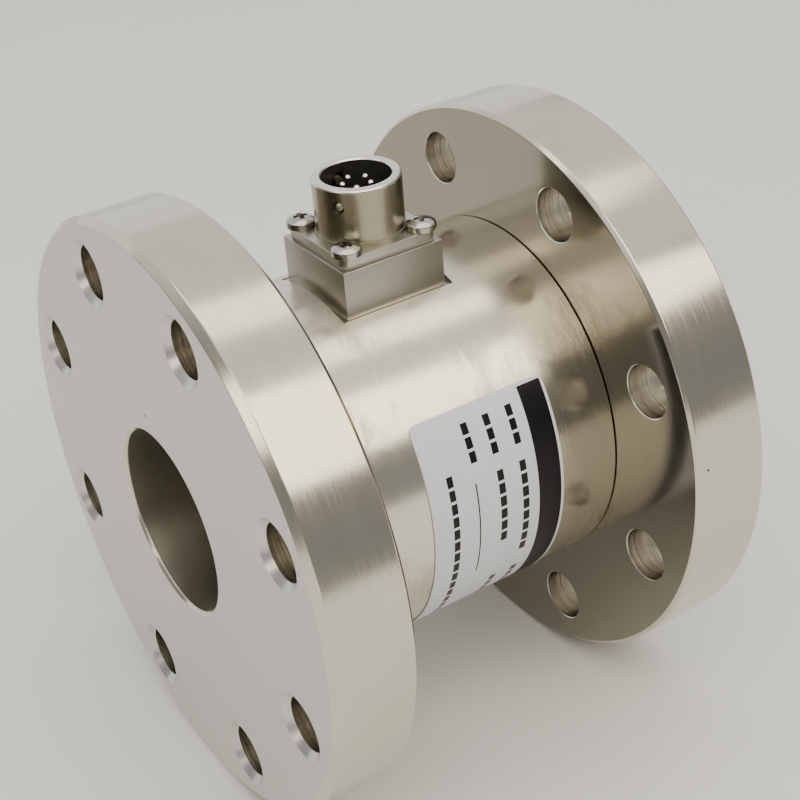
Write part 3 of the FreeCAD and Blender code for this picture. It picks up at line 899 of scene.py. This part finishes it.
class TORQUE_OT_shell(bpy.types.Operator):
    """Turn the receptacle's shell, join its plate and drill the holes for keys and screws"""
    bl_idname = "torque.shell"
    bl_label = "Connector shell"

    def execute(self, context):
        sizes = context.scene.torque_sizes
        colours = context.scene.torque_colours
        base = GASKET_HIGH.z
        plate_top = base + sizes.plate_thickness
        rim = SHELL_HIGH.z
        foot_top = plate_top + sizes.foot_height
        shoulder = rim - sizes.shoulder_depth
        rim_round = sizes.rim_round
        mouth = sizes.socket_mouth
        step = plate_top - sizes.plate_thickness / 2
        key_height = rim - sizes.key_depth
        key_reach = sizes.key_radius + sizes.key_countersink + NEAR
        ring_gap = key_reach + 2 * NEAR
        shell = turn("receptacle_shell", [
            (SHELL_LOW.z, sizes.barrel_bore),
            (SHELL_LOW.z, sizes.barrel_radius),
            (step, sizes.barrel_radius),
            (step, sizes.foot_radius),
            (foot_top, sizes.foot_radius),
            (foot_top, sizes.shell_radius),
            (key_height - ring_gap, sizes.shell_radius),
            (key_height + ring_gap, sizes.shell_radius),
            *arc(rim - rim_round, sizes.shell_radius - rim_round, rim_round, 90, 0, CORNER_STEPS),
            (rim, sizes.socket_radius + mouth),
            (rim - mouth, sizes.socket_radius),
            (key_height + ring_gap, sizes.socket_radius),
            (key_height - ring_gap, sizes.socket_radius),
            (shoulder, sizes.socket_radius),
            (shoulder, sizes.barrel_bore),
        ], axis="Z", centre=(CONNECTOR_X, 0, 0), steps=SHELL_STEPS)
        round_edges(shell, sizes.shell_edge)
        weld(shell, plate_blank(sizes, base, plate_top, sizes.plate_width, sizes.plate_edge))
        for angle in key_angles():
            cut(shell, key_tool(sizes, angle, key_height))
        clean_shell(shell)
        smooth(shell, TURNED_ANGLE)
        metal = colours.shell_metal
        # The rim colour is a painted highlight; the plate's colours are darker shares of it
        rim_highlight_and_plate_metal = colours.rim_highlight_and_plate

        def on_plate(centre, normal):
            return centre.z < plate_top + HAIR

        def on_rim(centre, normal):
            return centre.z > rim - rim_round and normal.z > 0.05

        def in_socket(centre, normal):
            aside = math.hypot(centre.x - CONNECTOR_X, centre.y)
            return aside < sizes.socket_radius + HAIR and centre.z > shoulder

        key_centre = Vector((CONNECTOR_X, 0, key_height))
        key_axes = [Vector((math.cos(angle), math.sin(angle), 0)) for angle in key_angles()]

        def in_key_hole(centre, normal):
            reach = centre - key_centre
            for along in key_axes:
                aside = (reach - along * reach.dot(along)).length
                if reach.dot(along) > 0 and aside < key_reach and normal.dot(along) < 0.9:
                    return True
            return False

        paint(shell, plated("shell_plating", metal, scaled(metal, 0.97)).material)
        plate_metal = plated("plate_plating", scaled(rim_highlight_and_plate_metal, 0.70), scaled(rim_highlight_and_plate_metal, 0.56))
        paint(shell, plate_metal.material, on_plate)
        # Painted highlight: the upward faces at the rim are painted lighter than the shell's wall
        paint(shell, plated("rim_painted_highlight", rim_highlight_and_plate_metal, scaled(rim_highlight_and_plate_metal, 0.9)).material, on_rim)
        # Painted shade: the shell's inner wall and shoulder inside the socket are painted near black
        paint(shell, plain_finish("socket_wall_painted_shade").material, in_socket)
        # Painted shade: the key holes and their countersinks are painted near black
        paint(shell, plain_finish("key_hole_painted_shade", metallic=1.0).material, in_key_hole)
        settle(shell, "connector_shell")
        return {"FINISHED"}


def key_angles():
    """Angles of the three keys, from where the pins of the frame stand."""
    angles = []
    for number in (1, 2, 3):
        low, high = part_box(f"key_pin_{number}")
        middle = (low + high) / 2
        angles.append(math.atan2(middle.y, middle.x - CONNECTOR_X))
    return angles


def key_tool(sizes, angle, height):
    """Cutter for one key's hole, with its countersink."""
    over = 0.6 * MM
    tool = turn("key_tool", [
        (sizes.socket_radius / 2, sizes.key_radius),
        (sizes.shell_radius - sizes.key_countersink, sizes.key_radius),
        (sizes.shell_radius + over, sizes.key_radius + sizes.key_countersink + over),
    ], steps=SMALL_STEPS, ring=False)
    tool.matrix_world = Matrix.Translation((CONNECTOR_X, 0, height)) @ Matrix.Rotation(angle, 4, "Z")
    apply_place(tool)
    return tool


class TORQUE_OT_screws(bpy.types.Operator):
    """Turn one pan-head screw, cut its cross recess and stand four copies on the plate"""
    bl_idname = "torque.screws"
    bl_label = "Receptacle screws"

    def execute(self, context):
        sizes = context.scene.torque_sizes
        colours = context.scene.torque_colours
        radius = sizes.head_radius
        side = sizes.head_side
        top = side + sizes.head_crown
        edge = sizes.head_round
        dome = top - side - edge
        screw = turn("pan_screw", [
            (-sizes.screw_length, sizes.screw_radius * 0.7),
            (-sizes.screw_length + sizes.screw_radius * 0.3, sizes.screw_radius),
            (0, sizes.screw_radius),
            (0, radius - sizes.head_foot),
            (sizes.head_foot, radius),
            *arc(side, radius - edge, edge, 90, 20, HEAD_ROUND_STEPS),
            *[(side + edge + dome * rise, radius * share) for rise, share in CROWN],
        ], axis="Z", steps=HEAD_STEPS, ring=False)
        cut(screw, cross_tool(sizes, top))
        clean_shell(screw)
        smooth(screw, DOME_ANGLE)
        bright = colours.screw_metal
        paint(screw, plated("screw_plating", bright, scaled(bright, 0.82)).material)
        half_span = sizes.recess_span / 2
        floor = top - sizes.recess_depth + NEAR

        def in_recess(centre, normal):
            aside = math.hypot(centre.x, centre.y)
            if normal.z < 0.75 and centre.z > 0.2 * MM:
                return aside < half_span + 2 * HAIR
            return normal.z > 0.5 and aside < half_span and 0 < centre.z < floor

        # Painted shade: the faces inside the cross recess get a darker metal than the head
        paint(screw, plated("recess_painted_shade", *RECESS_SHADE_COLOURS).material, in_recess)
        plate_top = GASKET_HIGH.z + sizes.plate_thickness
        spots = zip(screw_places(sizes), SCREW_TURNS)
        for number, ((x, y), degrees) in enumerate(spots, 1):
            copy = duplicate(screw, f"pan_screw_{number}")
            place = Matrix.Translation((x, y, plate_top))
            copy.matrix_world = place @ Matrix.Rotation(math.radians(degrees), 4, "Z")
            apply_place(copy)
            settle(copy, f"flange_screw_{number}")
        bpy.data.objects.remove(screw)
        return {"FINISHED"}


def cross_tool(sizes, top):
    """Tapered cross for the screw's recess."""
    over = 0.4 * MM
    depth = sizes.recess_depth + over
    floor = top + over - depth
    sides = (sizes.recess_span, sizes.recess_slot, depth)
    arms = []
    for degrees in (0, 90):
        arm = box_piece("recess_arm", (0, 0, top + over - depth / 2), sides, degrees)
        select_faces(arm, lambda centre, normal: normal.z < -0.5)
        bpy.ops.transform.resize(value=(0.5, 0.5, 1), center_override=(0, 0, floor))
        bpy.ops.object.mode_set(mode="OBJECT")
        arms.append(arm)
    weld(arms[0], arms[1])
    return arms[0]


class TORQUE_OT_contacts(bpy.types.Operator):
    """Turn one contact with a domed tip and an open solder cup, and set five copies in the insert"""
    bl_idname = "torque.contacts"
    bl_label = "Contacts"

    def execute(self, context):
        sizes = context.scene.torque_sizes
        low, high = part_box("contact_pin_1")
        radius = sizes.contact_radius
        cup_top = low.z + sizes.cup_length
        contact = turn("contact", [
            (low.z + sizes.cup_bore_depth, 0.02 * MM),
            (low.z + sizes.cup_bore_depth, sizes.cup_bore),
            (low.z, sizes.cup_bore),
            (low.z, sizes.cup_radius),
            (cup_top, sizes.cup_radius),
            (cup_top, radius),
            *arc(high.z - radius, 0, radius, 90, 4, TIP_STEPS),
        ], axis="Z", steps=SMALL_STEPS, ring=False)
        slot_x = sizes.cup_slot_offset + sizes.cup_radius
        over = 0.1 * MM
        slot_z = low.z + sizes.cup_slot_depth / 2 - over
        slot_sides = (2 * sizes.cup_radius, 4 * sizes.cup_radius, sizes.cup_slot_depth + 2 * over)
        slot = box_piece("slot_tool", (slot_x, 0, slot_z), slot_sides)
        cut(contact, slot)
        clean_shell(contact)
        smooth(contact, DOME_ANGLE)
        paint(contact, plated("contact_metal", *CONTACT_COLOURS).material)
        for number in range(1, 6):
            low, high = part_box(f"contact_pin_{number}")
            copy = duplicate(contact, f"domed_contact_{number}")
            copy.location = ((low.x + high.x) / 2, (low.y + high.y) / 2, 0)
            apply_place(copy)
            settle(copy, f"contact_pin_{number}")
        bpy.data.objects.remove(contact)
        return {"FINISHED"}


class TORQUE_OT_label(bpy.types.Operator):
    """Cut the blank label with round corners and wrap it on the sleeve"""
    bl_idname = "torque.label"
    bl_label = "Label"

    def execute(self, context):
        sizes = context.scene.torque_sizes
        colours = context.scene.torque_colours
        radius = SLEEVE_HIGH.y + sizes.label_glue
        width, run = sizes.label_width, sizes.label_length
        clear_selection()
        bpy.ops.mesh.primitive_plane_add(size=1, rotation=(math.pi / 2, 0, 0))
        label = bpy.context.object
        label.name = "sleeve_label"
        label.scale = (width, run, 1)
        apply_place(label)
        bpy.ops.object.mode_set(mode="EDIT")
        bpy.ops.mesh.select_mode(type="VERT")
        bpy.ops.mesh.select_all(action="SELECT")
        bpy.ops.mesh.bevel(offset=sizes.label_corner, segments=ROUND_STEPS, affect="VERTICES")
        for index in range(1, LABEL_STRIPS):
            bpy.ops.mesh.select_all(action="SELECT")
            height = -run / 2 + run * index / LABEL_STRIPS
            bpy.ops.mesh.bisect(plane_co=(0, 0, height), plane_no=(0, 0, 1))
        bpy.ops.object.mode_set(mode="OBJECT")
        modify(label, "SIMPLE_DEFORM", deform_method="BEND", deform_axis="X", angle=run / radius)
        drop = LABEL_ANGLE + run / radius / 2 - math.pi / 2
        place = Matrix.Translation((sizes.label_start + width / 2, -radius, 0))
        label.matrix_world = Matrix.Rotation(drop, 4, "X") @ place
        apply_place(label)
        clean_shell(label)
        faces = label.data.polygons
        outward = sum(face.normal.y * face.center.y + face.normal.z * face.center.z for face in faces)
        modify(label, "SOLIDIFY", thickness=sizes.label_thickness, offset=1 if outward > 0 else -1)
        clean_shell(label)
        smooth(label)
        paint(label, label_finish(colours, width, run).material)
        settle(label, "label")
        return {"FINISHED"}


class TORQUE_OT_small(bpy.types.Operator):
    """Finish the insert, the keys and the pieces inside the sleeve"""
    bl_idname = "torque.small"
    bl_label = "Small and inner pieces"

    def execute(self, context):
        colours = context.scene.torque_colours
        shell = colours.shell_metal
        keys = plated("key_metal", scaled(shell, 1.35), scaled(shell, 1.1)).material
        for node in ("insert_retaining_ring", "key_pin_1", "key_pin_2", "key_pin_3"):
            repaint(node, keys)
        repaint("connector_insert", plain_finish("insert_plastic").material)
        repaint("gap_seal_ring", plain_finish("seal_rubber").material)
        repaint("terminal_ring", plain_finish("terminal_laminate").material)
        film = plain_finish("gauge_film")
        jacket = plain_finish("wire_jacket")
        for number in range(1, 5):
            repaint(f"strain_gauge_{number}", film.material)
            repaint(f"gauge_wires_{number}", jacket.material)
        for number in range(1, 6):
            repaint(f"lead_wire_{number}", jacket.material)
        return {"FINISHED"}


def softbox(name, place, degrees, width, height, power, tint):
    """Rectangular soft light, tilted from level and turned about the vertical by the two angles."""
    light = bpy.data.lights.new(name, "AREA")
    light.shape = "RECTANGLE"
    light.size = width
    light.size_y = height
    light.energy = power
    light.color = tint
    lamp = bpy.data.objects.new(name, light)
    bpy.context.collection.objects.link(lamp)
    lamp.location = place
    tilt, turned = degrees
    lamp.rotation_euler = (math.radians(tilt), 0, math.radians(turned))


class TORQUE_OT_stage(bpy.types.Operator):
    """Set the camera, the pale floor and the soft lights"""
    bl_idname = "torque.stage"
    bl_label = "Stage"

    def execute(self, context):
        colours = context.scene.torque_colours
        camera = bpy.data.cameras.new("camera")
        camera.lens = FOCAL_PIXELS * FILM_WIDTH / PICTURE_WIDTH
        camera.sensor_width = FILM_WIDTH
        camera.dof.use_dof = False
        camera.clip_start = 0.01
        eye = bpy.data.objects.new("camera", camera)
        bpy.context.collection.objects.link(eye)
        right, up = Vector(CAMERA_RIGHT), Vector(CAMERA_UP)
        place = Matrix((right, up, right.cross(up))).transposed().to_4x4()
        place.translation = Vector(CAMERA_PLACE)
        eye.matrix_world = place
        context.scene.camera = eye

        clear_selection()
        floor_place = (0, FLOOR_MIDDLE_Y, ELEMENT_LOW.z - 0.1 * MM)
        bpy.ops.mesh.primitive_plane_add(size=FLOOR_SIDE, location=floor_place)
        floor = bpy.context.object
        floor.name = "floor"
        apply_place(floor)
        paper = plain_finish("floor_paper", variation=0.02, shade=colours.floor)
        paint(floor, paper.material)

        world = context.scene.world or bpy.data.worlds.new("studio")
        context.scene.world = world
        world.use_nodes = True
        background = world.node_tree.nodes["Background"]
        background.inputs["Color"].default_value = WORLD_COLOUR
        background.inputs["Strength"].default_value = 1.0
        for name, settings in LIGHTS.items():
            softbox(name, *settings)
        return {"FINISHED"}


class TORQUE_PT_panel(bpy.types.Panel):
    bl_idname = "TORQUE_PT_panel"
    bl_label = "Torque Sensor"
    bl_space_type = "VIEW_3D"
    bl_region_type = "UI"
    bl_category = "Torque Sensor"

    def draw(self, context):
        for operator in OPERATORS:
            self.layout.operator(operator.bl_idname)
        for group in (context.scene.torque_sizes, context.scene.torque_colours):
            box = self.layout.box()
            for name in group.__annotations__:
                box.prop(group, name)


OPERATORS = (
    TORQUE_OT_stage,
    TORQUE_OT_element,
    TORQUE_OT_sleeve,
    TORQUE_OT_block,
    TORQUE_OT_gasket,
    TORQUE_OT_shell,
    TORQUE_OT_screws,
    TORQUE_OT_contacts,
    TORQUE_OT_label,
    TORQUE_OT_small,
)
CLASSES = (SensorSizes, SensorColours, *OPERATORS, TORQUE_PT_panel)


def register():
    for item in CLASSES:
        bpy.utils.register_class(item)
    bpy.types.Scene.torque_sizes = bpy.props.PointerProperty(type=SensorSizes)
    bpy.types.Scene.torque_colours = bpy.props.PointerProperty(type=SensorColours)


def unregister():
    del bpy.types.Scene.torque_colours
    del bpy.types.Scene.torque_sizes
    for item in reversed(CLASSES):
        bpy.utils.unregister_class(item)


def main():
    register()
    bpy.ops.torque.stage()
    bpy.ops.torque.element()
    bpy.ops.torque.sleeve()
    bpy.ops.torque.block()
    bpy.ops.torque.gasket()
    bpy.ops.torque.shell()
    bpy.ops.torque.screws()
    bpy.ops.torque.contacts()
    bpy.ops.torque.label()
    bpy.ops.torque.small()


if __name__ == "__main__":
    main()
